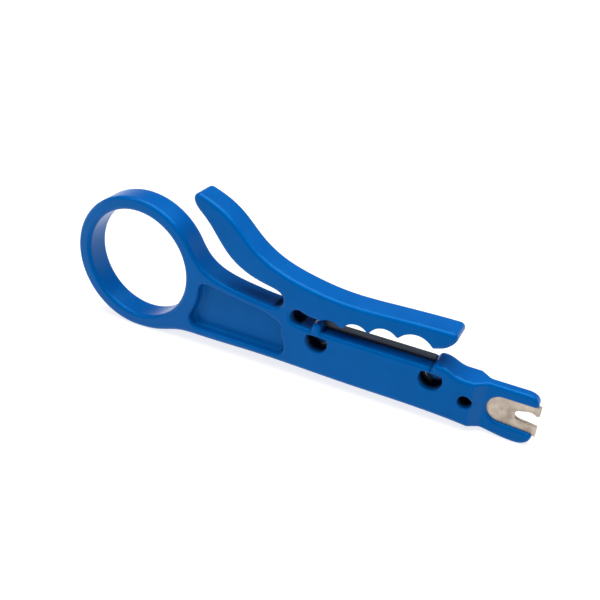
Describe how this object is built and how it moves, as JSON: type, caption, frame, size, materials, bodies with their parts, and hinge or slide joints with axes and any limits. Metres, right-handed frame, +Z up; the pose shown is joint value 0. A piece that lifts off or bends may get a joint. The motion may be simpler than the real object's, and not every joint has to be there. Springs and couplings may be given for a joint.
{
  "type": "punch down tool",
  "caption": "Small moulded cable stripper and punch down tool: finger ring, sprung jaw lever over a stripping blade, and a forked steel tip for seating wires.",
  "frame": {"origin": "middle of the bounding box's bottom, on the surface that the tool stands on", "axes": "+X along the handle from the finger ring to the forked tip, -Y out of the front face, +Z up towards the thumb lever"},
  "size_m": [0.094, 0.0056, 0.032],
  "materials": {
    "blue_plastic": "satin moulded plastic with a faint texture",
    "blade_steel": "dark hardened steel",
    "plate_steel": "bright stamped steel"
  },
  "bodies": {
    "handle": {"handle_body": "blue_plastic", "living_hinge": "blue_plastic", "stripping_blade": "blade_steel", "punchdown_blade": "plate_steel"},
    "lever": {"jaw_lever": "blue_plastic"}
  },
  "joints": [
    {"name": "lever_rock", "type": "hinge", "parent": "handle", "child": "lever", "pos_m": [-0.00013, 0, 0.01384], "axis": [0, -1, 0], "range_deg": [-3, 15], "stiffness_Nm_per_rad": 0.03, "deforming": ["living_hinge"]}
  ]
}
